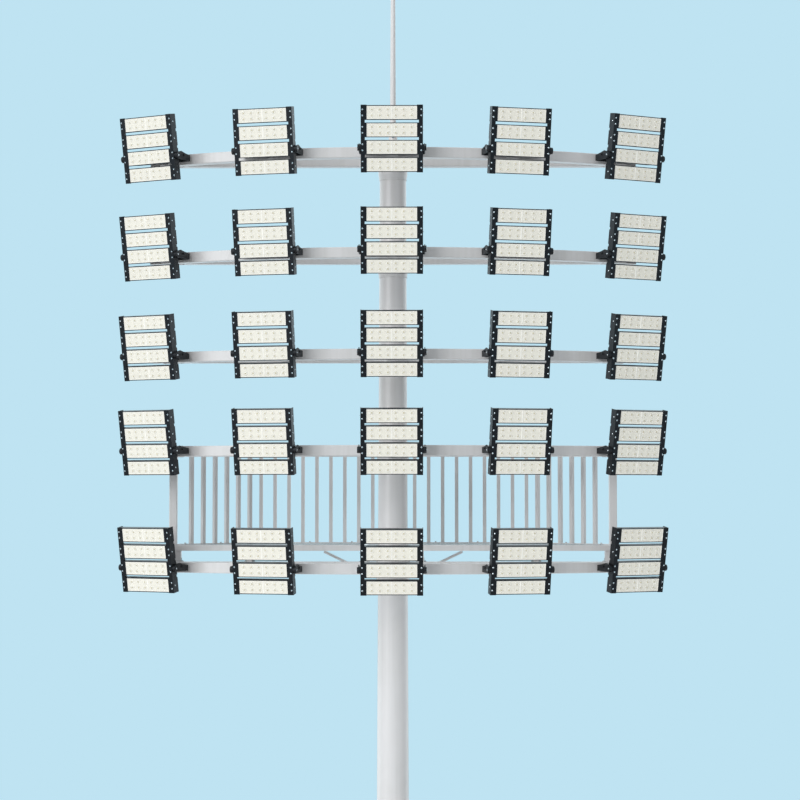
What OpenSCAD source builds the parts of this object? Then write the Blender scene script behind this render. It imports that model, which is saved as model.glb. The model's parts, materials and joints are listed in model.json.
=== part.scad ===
// Stadium floodlight pylon: a tapered tube mast on a bolted flange, five curved lamp
// frames with five floodlights each, and a maintenance balcony behind the mast.
// The frame: millimetres, +Z up, the lamps face -Y, the origin is the centre of the
// underside of the base flange. Rows count from the top, columns from -X to +X.

/* [Mast] */
// Outer diameter of the mast where it stands on the flange
mast_base_d = 475; // [420:5:560]
// Outer diameter of the mast at its top end
mast_top_d = 302; // [250:1:320]
// Wall of the mast tube
mast_wall = 8; // [5:1:14]

/* [Base flange] */
// Diameter of the base flange
flange_d = 780; // [760:10:900]
// Thickness of the base flange
flange_t = 30; // [20:1:50]
// Diameter of the circle of anchor holes
bolt_circle_d = 650; // [630:5:680]
// Diameter of one anchor hole
bolt_hole_d = 40; // [24:1:46]
// Number of anchor holes
bolt_count = 12; // [8:2:16]
// Diameter of the cable hole through the flange
cable_hole_d = 260; // [100:10:360]
// Height of the gusset ribs on the flange
rib_h = 220; // [120:10:400]
// Thickness of the gusset ribs
rib_t = 12; // [8:1:20]

/* [Service door] */
// Width of the door opening in the mast
door_w = 170; // [120:5:200]
// Height of the door opening in the mast
door_h = 620; // [400:10:900]
// Height of the middle of the door above the ground
door_z = 950; // [700:10:1400]
// Thickness of the cover over the opening
door_t = 5; // [3:1:8]
// Overlap of the cover beyond the opening on every side
door_lap = 22; // [12:1:30]

/* [Cap and rod] */
// Thickness of the skirt and top of the mast cap
cap_t = 6; // [4:1:12]
// Length of the skirt that the cap has over the mast
cap_skirt = 45; // [30:1:50]
// Gap between the collar of the top frame and the cap
cap_gap = 20; // [10:1:60]
// Height of the cone of the cap
cap_cone_h = 70; // [40:5:120]
// Height of the socket that carries the rod
socket_h = 90; // [60:5:140]
// Outer diameter of the socket
socket_d = 96; // [80:1:120]
// Diameter of the lightning rod at its foot
rod_base_d = 70; // [54:1:76]
// Diameter of the lightning rod below its point
rod_top_d = 50; // [30:1:53]
// Length of the tapered part of the rod
rod_len = 2120; // [1200:10:2600]
// Length of the point of the rod
rod_tip_len = 160; // [80:10:240]

/* [Lamp frames] */
// Height of the middle of the top frame above the ground
top_frame_z = 20000; // [19000:50:21000]
// Height between the first and second frame from the top
gap_1_2 = 1130; // [1000:5:1300]
// Height between the second and third frame
gap_2_3 = 1145; // [1000:5:1300]
// Height between the third and fourth frame
gap_3_4 = 1080; // [1000:5:1300]
// Height between the two lowest frames
gap_4_5 = 1325; // [1280:5:1400]
// Width and height of the box section of the frames
bar = 120; // [100:1:130]
// Corner radius of the box section
bar_corner = 9; // [4:1:15]
// Radius of the front face of the curved bar
arc_r = 5840; // [5600:20:6200]
// Distance from the mast axis to the front face of the curved bar
arc_front = 715; // [690:5:760]
// Half of the angle that the curved bar spans
arc_half = 28.8; // [28:0.1:29.5]
// Angle between two columns of lamps
lamp_step = 13.4; // [12.4:0.1:13.6]
// Width of the two radial spacers between curved and straight bar
spacer_w = 80; // [60:1:100]
// Wall of the collar that each frame has around the mast
collar_wall = 16; // [8:1:25]
// Length of the straight sleeve of a collar below its beam
collar_below = 95; // [30:5:110]
// Height of a collar above its beam
collar_above = 15; // [8:1:30]
// Length of the cone below the sleeve of a collar
collar_skirt = 60; // [30:1:75]

/* [Yokes] */
// Thickness of the flat steel of a yoke
yoke_t = 10; // [6:1:14]
// Diameter of the round end of a yoke arm
yoke_eye_d = 76; // [60:1:90]
// Height of a yoke at its cross plate
yoke_back_h = 62; // [44:1:76]
// Height of the top edge of a yoke arm above the tilt axis where it is highest
yoke_hump_h = 60; // [46:1:70]
// Distance from the tilt axis back to the highest point of a yoke arm
yoke_hump_y = 75; // [50:1:100]
// Outer bend radius of a yoke
yoke_bend_r = 28; // [20:1:40]
// Distance from the front face of the curved bar to the tilt axis
pivot_reach = 300; // [296:1:330]
// Thickness of the pad between yoke and bar
pad_t = 20; // [14:1:26]
// Width of the pad
pad_w = 130; // [80:5:200]
// Height of the pad
pad_h = 90; // [66:1:90]

/* [Floodlights] */
// Width over the two side plates
lamp_w = 690; // [600:5:720]
// Depth of the side plates
lamp_depth = 100; // [90:1:110]
// Height from the tilt axis to the top edge of a lamp
pivot_from_top = 469; // [450:1:490]
// Distance from the front face of a lamp to the tilt axis
pivot_from_face = 40; // [35:1:50]
// Tilt of a lamp below the horizontal at rest
rest_tilt = 10; // [0:1:20]
// Number of light modules in a lamp
module_count = 4; // [3:1:4]
// Height of one module
module_h = 162; // [150:1:166]
// Open gap between two modules
module_gap = 29; // [20:1:32]
// Height that the side plates have beyond the first and last module
plate_lip = 5; // [2:1:8]
// Thickness of the side plates
plate_t = 8; // [5:1:12]
// Width of the front flange of a side plate
flange_w = 66; // [50:1:80]
// Depth of the notches in the front flange at each gap
front_notch = 20; // [10:1:30]
// Depth of the notches in the rear edge of a side plate at each gap
rear_notch = 14; // [6:1:20]
// Height of the lens panel in its groove
lens_h = 144; // [130:1:146]
// Depth of the groove for the lens panel
lens_groove = 5; // [3:1:7]
// Thickness of the plate that carries the fins
sink_plate_t = 15; // [12:1:20]
// Distance from the front of the flange back to the front of a module
module_setback = 2; // [1:0.5:4]
// Number of cooling fins on a module
fin_count = 9; // [5:1:10]
// Thickness of a cooling fin
fin_t = 4.5; // [3:0.5:6]
// Depth that the outermost fins lack against the middle one
fin_crown = 16; // [0:1:24]
// Distance from the rear edge of the side plate to the middle fin
fin_setback = 3; // [1:1:10]
// Thickness of the boss between side plate and yoke arm
boss_t = 14; // [8:1:20]
// Diameter of the tilt pin
pin_d = 24; // [16:1:30]
// Thickness of the washer head outside the yoke arm
head_t = 12; // [8:1:16]
// Diameter of the washer head
head_d = 74; // [50:1:80]

/* [Balcony] */
// Distance from the mast axis to the middle of either end post
balcony_half_w = 2540; // [2460:10:2600]
// Distance from the mast axis to the middle of the rear railing
balcony_depth = 880; // [860:5:940]
// Distance from the mast axis to either corner of the rear railing
corner_x = 1585; // [1400:5:1700]
// Height of the walking surface above the middle of the lowest frame
deck_rise = 250; // [225:5:280]
// Height of the edge beam of the deck
deck_edge_h = 65; // [50:1:80]
// Width of the edge beam of the deck
deck_edge_w = 60; // [50:1:70]
// Width of the members inside the edge beam
deck_member_w = 50; // [40:1:56]
// Thickness of the grating
grating_t = 25; // [20:1:30]
// Distance from the mast axis to the members beside the brace heads
brace_reach = 820; // [700:5:860]
// Number of grating bays on each side outside the braces
deck_bays = 4; // [3:1:5]
// Clear width of the ladder hatch
hatch_w = 600; // [560:5:640]
// Distance from the mast axis to the front edge of the hatch
hatch_front = 270; // [262:1:280]
// Width of a support block between lowest frame and deck
block_w = 60; // [40:1:80]
// Width of a knee brace
brace_w = 26; // [20:1:50]
// Distance from the mast axis back to the brace head
brace_back = 350; // [330:5:420]
// Height from the middle of the lowest frame down to the brace foot
brace_drop = 195; // [180:5:260]

/* [Railing] */
// Width of the end posts
post_w = 90; // [80:1:100]
// Width and height of the top rail
rail_w = 60; // [50:1:64]
// Width of the balusters
baluster_w = 42; // [30:1:42]
// Number of bays between the two corners of the rear railing
rail_bays = 19; // [15:2:23]
// Thickness of the foot strip of a railing panel
foot_t = 10; // [6:1:14]
// Gap between two railing panels
panel_gap = 4; // [2:1:8]

/* [Ladder] */
// Width over the two stringers
ladder_w = 290; // [270:5:320]
// Width of a stringer seen from the side
stringer_w = 60; // [50:1:70]
// Thickness of a stringer
stringer_t = 12; // [8:1:14]
// Distance from the mast axis to the middle of the ladder
ladder_y = 365; // [350:5:370]
// Height of the foot of the ladder above the ground
ladder_foot_z = 2400; // [2200:50:3000]
// Height of the stringers above the deck
ladder_over_deck = 1080; // [900:10:1100]
// Diameter of a rung
rung_d = 24; // [20:1:30]
// Distance between two rungs
rung_pitch = 300; // [250:5:320]
// Number of bracket pairs on the mast
bracket_count = 7; // [5:1:8]
// Height of a bracket arm
bracket_h = 60; // [40:1:80]
// Thickness of a bracket arm
bracket_t = 8; // [6:1:12]

/* [Clearances] */
// Radial gap between tilt pin and yoke bore
pin_gap = 0.3; // [0.2:0.05:0.5]
// Gap between the boss and head of a lamp and its yoke arm
arm_gap = 1; // [0.5:0.5:2]
// Gap around the mast in the deck
mast_gap = 22; // [15:1:26]
// Gap between the grating and the members around it
grating_gap = 2; // [1:0.5:4]
// Gap that a weld fills between a collar and what is welded to it
weld_gap = 0.5; // [0.3:0.1:2]

/* [Hidden] */
rows = 5;
columns = 5;
row_ids = [for (r = [0 : rows - 1]) r];
column_ids = [for (c = [0 : columns - 1]) c];
middle_column = (columns - 1) / 2;
panel_names = ["railing_left", "railing_middle", "railing_right"];

// Facets that a drawn circle gets: large ones need more to hold their outline
large_fn = 360;
round_fn = 96;
small_fn = 48;
// Length that a cutting body has beyond what it cuts
over = 20;

// Colours
paint = "#D3D5D6";
galvanised = "#B9BDBE";
anodised = "#2B2B2D";

// Mast
mast_top_z = top_frame_z + bar / 2 + collar_above + cap_gap + cap_skirt;
mast_slope = (mast_base_d - mast_top_d) / 2 / (mast_top_z - flange_t);
function mast_r(z) = mast_base_d / 2 - (z - flange_t) * mast_slope;

// Lamp frames
low_row = rows - 1;
frame_gaps = [gap_1_2, gap_2_3, gap_3_4, gap_4_5];
function frame_z(r) = r > 0 ? frame_z(r - 1) - frame_gaps[r - 1] : top_frame_z;
arc_centre_y = arc_r - arc_front;
arc_middle_r = arc_r - bar / 2;
function collar_r(r) = mast_r(frame_z(r)) + collar_wall;
function lamp_angle(c) = (c - middle_column) * lamp_step;

// Floodlights
lamp_h = module_count * module_h + (module_count - 1) * module_gap + 2 * plate_lip;
lamp_top = pivot_from_top;
lamp_bottom = pivot_from_top - lamp_h;
lamp_front = -pivot_from_face;
lamp_back = lamp_front + lamp_depth;
module_pitch = module_h + module_gap;
module_len = lamp_w - 2 * plate_t;
module_front = lamp_front + module_setback;
module_back = lamp_back - fin_setback;
function module_z(m) = lamp_top - plate_lip - module_h / 2 - m * module_pitch;
function gap_z(m) = module_z(m) - module_pitch / 2;
arm_inside = lamp_w / 2 + boss_t + arm_gap;
arm_outside = arm_inside + yoke_t;
pin_end = arm_outside + arm_gap + head_t;
yoke_back = pivot_reach - pad_t;

// Balcony
deck_z = frame_z(low_row) + deck_rise;
deck_under = deck_z - deck_edge_h;
rail_z = frame_z(low_row - 1);
post_outside = balcony_half_w + post_w / 2;
arc_rear_y = arc_centre_y - sqrt(pow(arc_r - bar, 2) - pow(post_outside, 2));
post_y = max(bar / 2, arc_rear_y) + post_w / 2;
deck_half_w = balcony_half_w - post_w / 2;
side_angle = atan2(balcony_depth - post_y, deck_half_w - corner_x);
side_len = norm([balcony_depth - post_y, deck_half_w - corner_x]);
rail_pitch = 2 * corner_x / rail_bays;
deck_front = -bar / 2;
trimmer_x = (hatch_w + deck_member_w) / 2;
bay_w = (deck_half_w - deck_member_w / 2 - brace_reach) / deck_bays;
member_x = [for (b = [0 : deck_bays - 1]) brace_reach + b * bay_w];
block_x = [trimmer_x, brace_reach + floor(deck_bays / 2) * bay_w, deck_half_w - block_w / 2];
member_h = deck_edge_h - grating_t;
sides = [-1, 1];

// Half of the length of the rear railing, and of the width of the deck at a depth, both
// taken at a distance outside the middle line of the railing
function corner_at(t) = corner_x + t * tan(side_angle / 2);
function side_at(t, y) = corner_x + (t - (y - balcony_depth) * cos(side_angle)) / sin(side_angle);

// Ladder
ladder_top_z = deck_z + ladder_over_deck;
ladder_steps = floor((deck_z - 4 * rung_pitch - ladder_foot_z) / rung_pitch);
function bracket_step(k) = round(1 + k * (ladder_steps - 1) / (bracket_count - 1));

// Corners of a square of the given width whose corners are rounded by the radius
function rounded_square(w, r) = [
    for (q = [0 : 3]) for (k = [0 : 2])
        let (a = 90 * q + 45 * k, m = w / 2 - r)
        [m * (q == 0 || q == 3 ? 1 : -1) + r * cos(a), m * (q < 2 ? 1 : -1) + r * sin(a)]
];

// Corners of the finned extrusion of a module, as depth and height
function fin_top(k) = module_h / 2 - k * (module_h - fin_t) / (fin_count - 1);
function fin_end(k) = module_back - fin_crown * pow(2 * k / (fin_count - 1) - 1, 2);
sink_outline = concat(
    [
        [module_front, -module_h / 2],
        [module_front, -lens_h / 2],
        [module_front + lens_groove, -lens_h / 2],
        [module_front + lens_groove, lens_h / 2],
        [module_front, lens_h / 2],
        [module_front, module_h / 2]
    ],
    [for (k = [0 : fin_count - 1]) each [
        if (k > 0) [module_front + sink_plate_t, fin_top(k)],
        [fin_end(k), fin_top(k)],
        [fin_end(k), fin_top(k) - fin_t],
        if (k < fin_count - 1) [module_front + sink_plate_t, fin_top(k) - fin_t]
    ]]
);

// Straight bar of rounded box section from the origin along +X
module box_bar(w, length) {
    rotate([90, 0, 90]) linear_extrude(length) polygon(rounded_square(w, bar_corner));
}

// Outline drawn as depth and height, made a plate of the given thickness along +X
module side_plate(thickness) {
    rotate([90, 0, 90]) linear_extrude(thickness) children();
}

// Cone of the outside of the mast, grown by a wall
module mast_body(grow = 0, z0 = flange_t, z1 = mast_top_z) {
    translate([0, 0, z0])
        cylinder(r1 = mast_r(z0) + grow, r2 = mast_r(z1) + grow, h = z1 - z0, $fn = round_fn);
}

// Sleeve of the collar of one frame, as a full body that may be grown
module collar_body(r, grow = 0) {
    sleeve_z = frame_z(r) - bar / 2 - collar_below;
    translate([0, 0, sleeve_z])
        cylinder(r = collar_r(r) + grow, h = collar_below + bar + collar_above, $fn = round_fn);
    translate([0, 0, sleeve_z - collar_skirt])
        cylinder(
            r1 = mast_r(sleeve_z - collar_skirt) + collar_wall / 5 + grow,
            r2 = collar_r(r) + grow,
            h = collar_skirt,
            $fn = round_fn
        );
}

// Places the tilt axis of the lamp in row r and column c, with the lamp facing -Y
module at_pivot(r, c) {
    a = lamp_angle(c);
    reach = arc_r + pivot_reach;
    translate([reach * sin(a), arc_centre_y - reach * cos(a), frame_z(r)]) rotate([0, 0, a]) children();
}

// Upright slot through the rear wall of the mast, grown by a margin
module door_slot(grow = 0) {
    w = door_w + 2 * grow;
    straight = door_h - door_w;
    translate([0, 0, door_z]) rotate([-90, 0, 0]) linear_extrude(mast_base_d) {
        square([w, straight], center = true);
        for (s = sides) translate([0, s * straight / 2]) circle(d = w, $fn = round_fn);
    }
}

module base_flange() {
    color(galvanised) difference() {
        union() {
            cylinder(d = flange_d, h = flange_t, $fn = round_fn);
            for (k = [0 : bolt_count - 1]) rotate([0, 0, (k + 0.5) * 360 / bolt_count]) rib();
        }
        translate([0, 0, -over]) cylinder(d = cable_hole_d, h = flange_t + 2 * over, $fn = round_fn);
        for (k = [0 : bolt_count - 1])
            rotate([0, 0, k * 360 / bolt_count])
                translate([bolt_circle_d / 2, 0, -over])
                    cylinder(d = bolt_hole_d, h = flange_t + 2 * over, $fn = small_fn);
        mast_body();
    }
}

// Gusset rib between flange and mast, along +X
module rib() {
    foot = flange_d / 2 - rib_t;
    head = mast_base_d / 2 + rib_t;
    root = mast_base_d / 2 - mast_wall;
    rotate([90, 0, 0]) linear_extrude(rib_t, center = true) polygon([
        [root, flange_t / 2],
        [foot, flange_t / 2],
        [foot, flange_t + rib_t],
        [head, flange_t + rib_h],
        [root, flange_t + rib_h]
    ]);
}

module mast() {
    color(paint) difference() {
        mast_body();
        translate([0, 0, flange_t - over])
            cylinder(
                r1 = mast_r(flange_t - over) - mast_wall,
                r2 = mast_r(mast_top_z + over) - mast_wall,
                h = mast_top_z - flange_t + 2 * over,
                $fn = round_fn
            );
        door_slot();
    }
}

module service_door() {
    reach = door_h + 2 * door_lap;
    color(paint) difference() {
        intersection() {
            mast_body(door_t, door_z - reach, door_z + reach);
            door_slot(door_lap);
        }
        mast_body();
    }
}

module mast_cap() {
    r = mast_r(mast_top_z - cap_skirt) + cap_t;
    color(paint) difference() {
        union() {
            translate([0, 0, mast_top_z - cap_skirt])
                cylinder(r = r, h = cap_skirt + cap_t, $fn = round_fn);
            translate([0, 0, mast_top_z + cap_t])
                cylinder(r1 = r, r2 = socket_d / 2, h = cap_cone_h, $fn = round_fn);
            translate([0, 0, mast_top_z + cap_t + cap_cone_h])
                cylinder(d = socket_d, h = socket_h, $fn = round_fn);
        }
        mast_body();
    }
}

module lightning_rod() {
    rod_z = mast_top_z + cap_t + cap_cone_h + socket_h;
    color(paint) translate([0, 0, rod_z]) {
        cylinder(d1 = rod_base_d, d2 = rod_top_d, h = rod_len, $fn = small_fn);
        translate([0, 0, rod_len])
            cylinder(d1 = rod_top_d, d2 = rod_top_d / 6, h = rod_tip_len, $fn = small_fn);
    }
}

module frame_collars() {
    color(paint) for (r = row_ids) difference() {
        collar_body(r);
        mast_body();
    }
}

// Curved bar in front, with the pads that carry the yokes
module curved_bar() {
    translate([0, arc_centre_y, 0]) {
        rotate([0, 0, -90 - arc_half])
            rotate_extrude(angle = 2 * arc_half, $fn = large_fn)
                translate([arc_middle_r, 0]) polygon(rounded_square(bar, bar_corner));
        for (c = column_ids) rotate([0, 0, lamp_angle(c) - 90])
            translate([arc_middle_r, -pad_w / 2, -pad_h / 2]) cube([bar / 2 + pad_t, pad_w, pad_h]);
    }
}

// Straight beam behind the curved bar, and the stub and spacers that run forward to it
module rear_bars() {
    intersection() {
        union() {
            translate([-arc_r, 0, 0]) box_bar(bar, 2 * arc_r);
            rotate([0, 0, -90]) box_bar(bar, arc_front);
            for (c = [1, columns - 2]) translate([0, arc_centre_y, 0]) rotate([0, 0, lamp_angle(c) - 90])
                translate([arc_centre_y / cos(lamp_angle(c)), 0, 0]) box_bar(spacer_w, arc_front);
        }
        translate([0, arc_centre_y, -bar])
            cylinder(r = arc_r - bar - weld_gap, h = 2 * bar, $fn = large_fn);
    }
}

// One tier of the head
module lamp_frame(r) {
    color(paint) {
        translate([0, 0, frame_z(r)]) curved_bar();
        difference() {
            translate([0, 0, frame_z(r)]) rear_bars();
            collar_body(r, weld_gap);
        }
    }
}

// Bent flat-bar yoke around one lamp, with the tilt axis along X at the origin
module yoke() {
    eye = yoke_eye_d / 2;
    difference() {
        intersection() {
            translate([0, 0, -eye]) linear_extrude(eye + yoke_hump_h) difference() {
                yoke_plan(0);
                yoke_plan(yoke_t);
            }
            translate([-arm_outside - over, 0, 0]) side_plate(2 * (arm_outside + over)) union() {
                circle(d = yoke_eye_d, $fn = round_fn);
                polygon([
                    [0, -eye],
                    [yoke_back, -yoke_back_h / 2],
                    [yoke_back, yoke_back_h / 2],
                    [2 * yoke_hump_y, (yoke_hump_h + yoke_back_h / 2) / 2],
                    [yoke_hump_y, yoke_hump_h],
                    [0, eye]
                ]);
            }
        }
        translate([-arm_outside - over, 0, 0]) rotate([0, 90, 0])
            cylinder(d = pin_d + 2 * pin_gap, h = 2 * (arm_outside + over), $fn = small_fn);
    }
}

// Plan of a yoke without its hollow, shrunk by an inset on three sides
module yoke_plan(inset) {
    half = arm_outside - inset;
    back = yoke_back - inset;
    bend = yoke_bend_r - inset;
    front = -yoke_eye_d - inset;
    difference() {
        translate([-half, front]) square([2 * half, back - front]);
        for (s = sides) translate([s * (half - bend / 2), back - bend / 2])
            square([bend + 2 * pin_gap, bend + 2 * pin_gap], center = true);
    }
    for (s = sides) translate([s * (half - bend), back - bend]) circle(r = bend, $fn = small_fn);
}

module lamp_yokes(r) {
    color(anodised) for (c = column_ids) at_pivot(r, c) yoke();
}

// One floodlight at rest, with the tilt axis along X at the origin
module lamp_body() {
    rotate([rest_tilt, 0, 0]) {
        for (m = [0 : module_count - 1]) translate([-module_len / 2, 0, module_z(m)])
            side_plate(module_len) polygon(sink_outline);
        for (s = sides) scale([s, 1, 1]) lamp_side();
    }
}

// Side plate of a lamp with its front flange, boss, tilt pin and washer head, on the +X side
module lamp_side() {
    half = lamp_w / 2;
    translate([half - plate_t, 0, 0]) side_plate(plate_t) difference() {
        translate([lamp_front, lamp_bottom]) square([lamp_depth, lamp_h]);
        for (m = [0 : module_count - 2]) translate([lamp_back - rear_notch, gap_z(m) - module_gap / 2])
            square([rear_notch + over, module_gap]);
    }
    translate([0, lamp_front + plate_t, 0]) rotate([90, 0, 0]) linear_extrude(plate_t) difference() {
        translate([half - flange_w, lamp_bottom]) square([flange_w, lamp_h]);
        for (m = [0 : module_count - 2]) translate([half - flange_w - over, gap_z(m) - module_gap / 2])
            square([front_notch + over, module_gap]);
    }
    rotate([0, 90, 0]) {
        translate([0, 0, half]) cylinder(d = yoke_eye_d, h = boss_t, $fn = round_fn);
        translate([0, 0, half]) cylinder(d = pin_d, h = pin_end - half, $fn = small_fn);
        translate([0, 0, pin_end - head_t]) cylinder(d = head_d, h = head_t, $fn = round_fn);
    }
}

module lamp(r, c) {
    color(anodised) at_pivot(r, c) lamp_body();
}

// Box between the end posts, to trim what runs into them
module between_posts(z0, h) {
    translate([-deck_half_w, deck_front, z0]) cube([2 * deck_half_w, 2 * balcony_depth, h]);
}

// Full body of the deck's outline at a distance outside the railing line, open to the front
module deck_slab(t, z0, h) {
    front_x = side_at(t, -balcony_depth);
    translate([0, 0, z0]) linear_extrude(h) polygon([
        [-front_x, -balcony_depth],
        [front_x, -balcony_depth],
        [corner_at(t), balcony_depth + t],
        [-corner_at(t), balcony_depth + t]
    ]);
}

// A slab as deep as the edge beam, less all that no member fills
module deck_frame() {
    color(paint) intersection() {
        difference() {
            deck_slab(deck_edge_w / 2, deck_under, deck_edge_h);
            difference() {
                deck_slab(-deck_edge_w / 2, deck_under - over, deck_edge_h + 2 * over);
                for (s = sides) scale([s, 1, 1]) deck_side();
                translate([-trimmer_x, hatch_front - deck_member_w, deck_under])
                    cube([2 * trimmer_x, deck_member_w, deck_edge_h]);
            }
        }
        between_posts(deck_under, deck_edge_h);
    }
}

// Straight members of one half of the deck, on the +X side
module deck_side() {
    long = 2 * balcony_depth;
    inner = trimmer_x - deck_member_w / 2;
    translate([inner, deck_front, deck_under]) cube([deck_member_w, long, deck_edge_h]);
    translate([inner, deck_front, deck_under]) cube([deck_half_w - inner, deck_member_w, deck_edge_h]);
    translate([deck_half_w - deck_member_w, deck_front, deck_under])
        cube([deck_member_w, long, deck_edge_h]);
    for (x = member_x) translate([x - deck_member_w / 2, deck_front, deck_under])
        cube([deck_member_w, long, member_h]);
}

// Grating panels between the edge members
module deck_grating() {
    inner = trimmer_x + deck_member_w / 2 + grating_gap;
    outer = deck_half_w - deck_member_w - grating_gap;
    front = deck_front + deck_member_w + grating_gap;
    z = deck_z - grating_t;
    color(galvanised) for (s = sides) intersection() {
        scale([s, 1, 1]) translate([inner, front, z]) cube([outer - inner, 2 * balcony_depth, grating_t]);
        deck_slab(-deck_edge_w / 2 - grating_gap, z, grating_t);
    }
}

// Plate of the deck with a recess for the rear half of the mast
module mast_plate() {
    z = deck_z - grating_t;
    color(galvanised) difference() {
        translate([-hatch_w / 2, deck_front, z])
            cube([hatch_w, hatch_front - deck_member_w - deck_front, grating_t]);
        translate([0, 0, z - over])
            cylinder(r = mast_r(deck_z) + mast_gap, h = grating_t + 2 * over, $fn = round_fn);
    }
}

// Blocks that carry the deck on the straight beam of the lowest frame
module deck_blocks() {
    z = frame_z(low_row) + bar / 2;
    color(paint) for (s = sides) for (x = block_x)
        translate([s * x - block_w / 2, -bar / 2 + bar_corner, z])
            cube([block_w, bar - 2 * bar_corner, deck_under - z]);
}

// Struts from the mast up to the deck members beside them
module knee_braces() {
    foot_z = frame_z(low_row) - brace_drop;
    plan = atan2(brace_back, brace_reach);
    run = norm([brace_reach, brace_back]);
    rise = deck_under - foot_z;
    slope = atan2(rise, run);
    color(paint) for (s = sides) scale([s, 1, 1]) difference() {
        intersection() {
            translate([0, 0, foot_z]) rotate([0, -slope, plan])
                translate([0, -brace_w / 2, -brace_w]) cube([run + 2 * brace_w, brace_w, brace_w]);
            translate([-run, -run, foot_z - bar]) cube([2 * run, 2 * run, deck_under - foot_z + bar]);
        }
        mast_body(weld_gap);
        collar_body(low_row, weld_gap);
    }
}

// Square baluster between two heights, around the Z axis
module baluster(z0, z1) {
    translate([-baluster_w / 2, -baluster_w / 2, z0]) cube([baluster_w, baluster_w, z1 - z0]);
}

// Strip of the rear panel from corner to corner, with mitred ends
module rear_strip(w, z, h) {
    inside = corner_at(-w / 2) - panel_gap / 2;
    outside = corner_at(w / 2) - panel_gap / 2;
    translate([0, balcony_depth, z]) linear_extrude(h)
        polygon([[-inside, -w / 2], [inside, -w / 2], [outside, w / 2], [-outside, w / 2]]);
}

// Strip of a side panel that starts with a mitre and runs along +X past the end post
module side_strip(w, z, h) {
    mitre = w / 2 * tan(side_angle / 2);
    translate([0, 0, z]) linear_extrude(h) polygon([
        [panel_gap / 2 + mitre, -w / 2],
        [side_len + w, -w / 2],
        [side_len + w, w / 2],
        [panel_gap / 2 - mitre, w / 2]
    ]);
}

// Rear panel: top rail, foot strip, balusters and the two corner balusters
module rear_panel() {
    rear_strip(rail_w, rail_z - rail_w / 2, rail_w);
    rear_strip(deck_edge_w, deck_z, foot_t);
    for (b = [1 : rail_bays - 1])
        translate([b * rail_pitch - corner_x, balcony_depth, 0]) baluster(deck_z + foot_t / 2, rail_z);
    for (s = sides)
        translate([s * corner_x, balcony_depth, 0]) baluster(deck_z + foot_t, rail_z - rail_w / 2);
}

// Side panel on the +X side: top rail, foot strip and balusters
module side_panel() {
    intersection() {
        translate([corner_x, balcony_depth, 0]) rotate([0, 0, -side_angle]) {
            side_strip(rail_w, rail_z - rail_w / 2, rail_w);
            side_strip(deck_edge_w, deck_z, foot_t);
            for (b = [1 : floor((side_len - baluster_w) / rail_pitch)])
                translate([b * rail_pitch, 0, 0]) baluster(deck_z + foot_t / 2, rail_z);
        }
        between_posts(deck_z, rail_z + rail_w - deck_z);
    }
}

module railing(p) {
    color(paint) {
        if (p == 0) scale([-1, 1, 1]) side_panel();
        if (p == 1) rear_panel();
        if (p == 2) side_panel();
    }
}

// Posts behind the ends of the two lowest frames
module end_posts() {
    z0 = frame_z(low_row) - bar / 2;
    z1 = rail_z + bar / 2;
    color(paint) for (s = sides)
        translate([s * balcony_half_w, post_y, (z0 + z1) / 2])
            linear_extrude(z1 - z0, center = true) polygon(rounded_square(post_w, bar_corner));
}

module ladder() {
    length = ladder_top_z - ladder_foot_z;
    color(galvanised) translate([0, ladder_y, ladder_foot_z]) {
        for (s = sides) translate([s * (ladder_w - stringer_t) / 2, 0, 0]) {
            translate([-stringer_t / 2, -stringer_w / 2, 0]) cube([stringer_t, stringer_w, length]);
        }
        for (k = [0 : floor((length - rung_pitch) / rung_pitch)])
            translate([-(ladder_w - stringer_t) / 2, 0, rung_pitch * (k + 0.5)]) rotate([0, 90, 0])
                cylinder(d = rung_d, h = ladder_w - stringer_t, $fn = small_fn);
    }
}

// Arms that hold the stringers off the mast
module ladder_brackets() {
    arm_x = ladder_w / 2 - stringer_t - bracket_t;
    color(galvanised) for (k = [0 : bracket_count - 1]) {
        z = ladder_foot_z + rung_pitch * bracket_step(k) - bracket_h / 2;
        for (s = sides) scale([s, 1, 1]) difference() {
            translate([arm_x, 0, z]) cube([bracket_t, ladder_y + stringer_w / 2, bracket_h]);
            mast_body();
        }
    }
}

base_flange();
mast();
service_door();
mast_cap();
lightning_rod();
frame_collars();
for (r = row_ids) lamp_frame(r);
for (r = row_ids) lamp_yokes(r);
deck_frame();
deck_grating();
mast_plate();
deck_blocks();
knee_braces();
for (p = [0 : len(panel_names) - 1]) railing(p);
end_posts();
ladder();
ladder_brackets();
for (r = row_ids) for (c = column_ids)
    lamp(r, c);
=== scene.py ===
import json
import math

import bmesh
import bpy
from mathutils import Matrix, Vector

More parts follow.
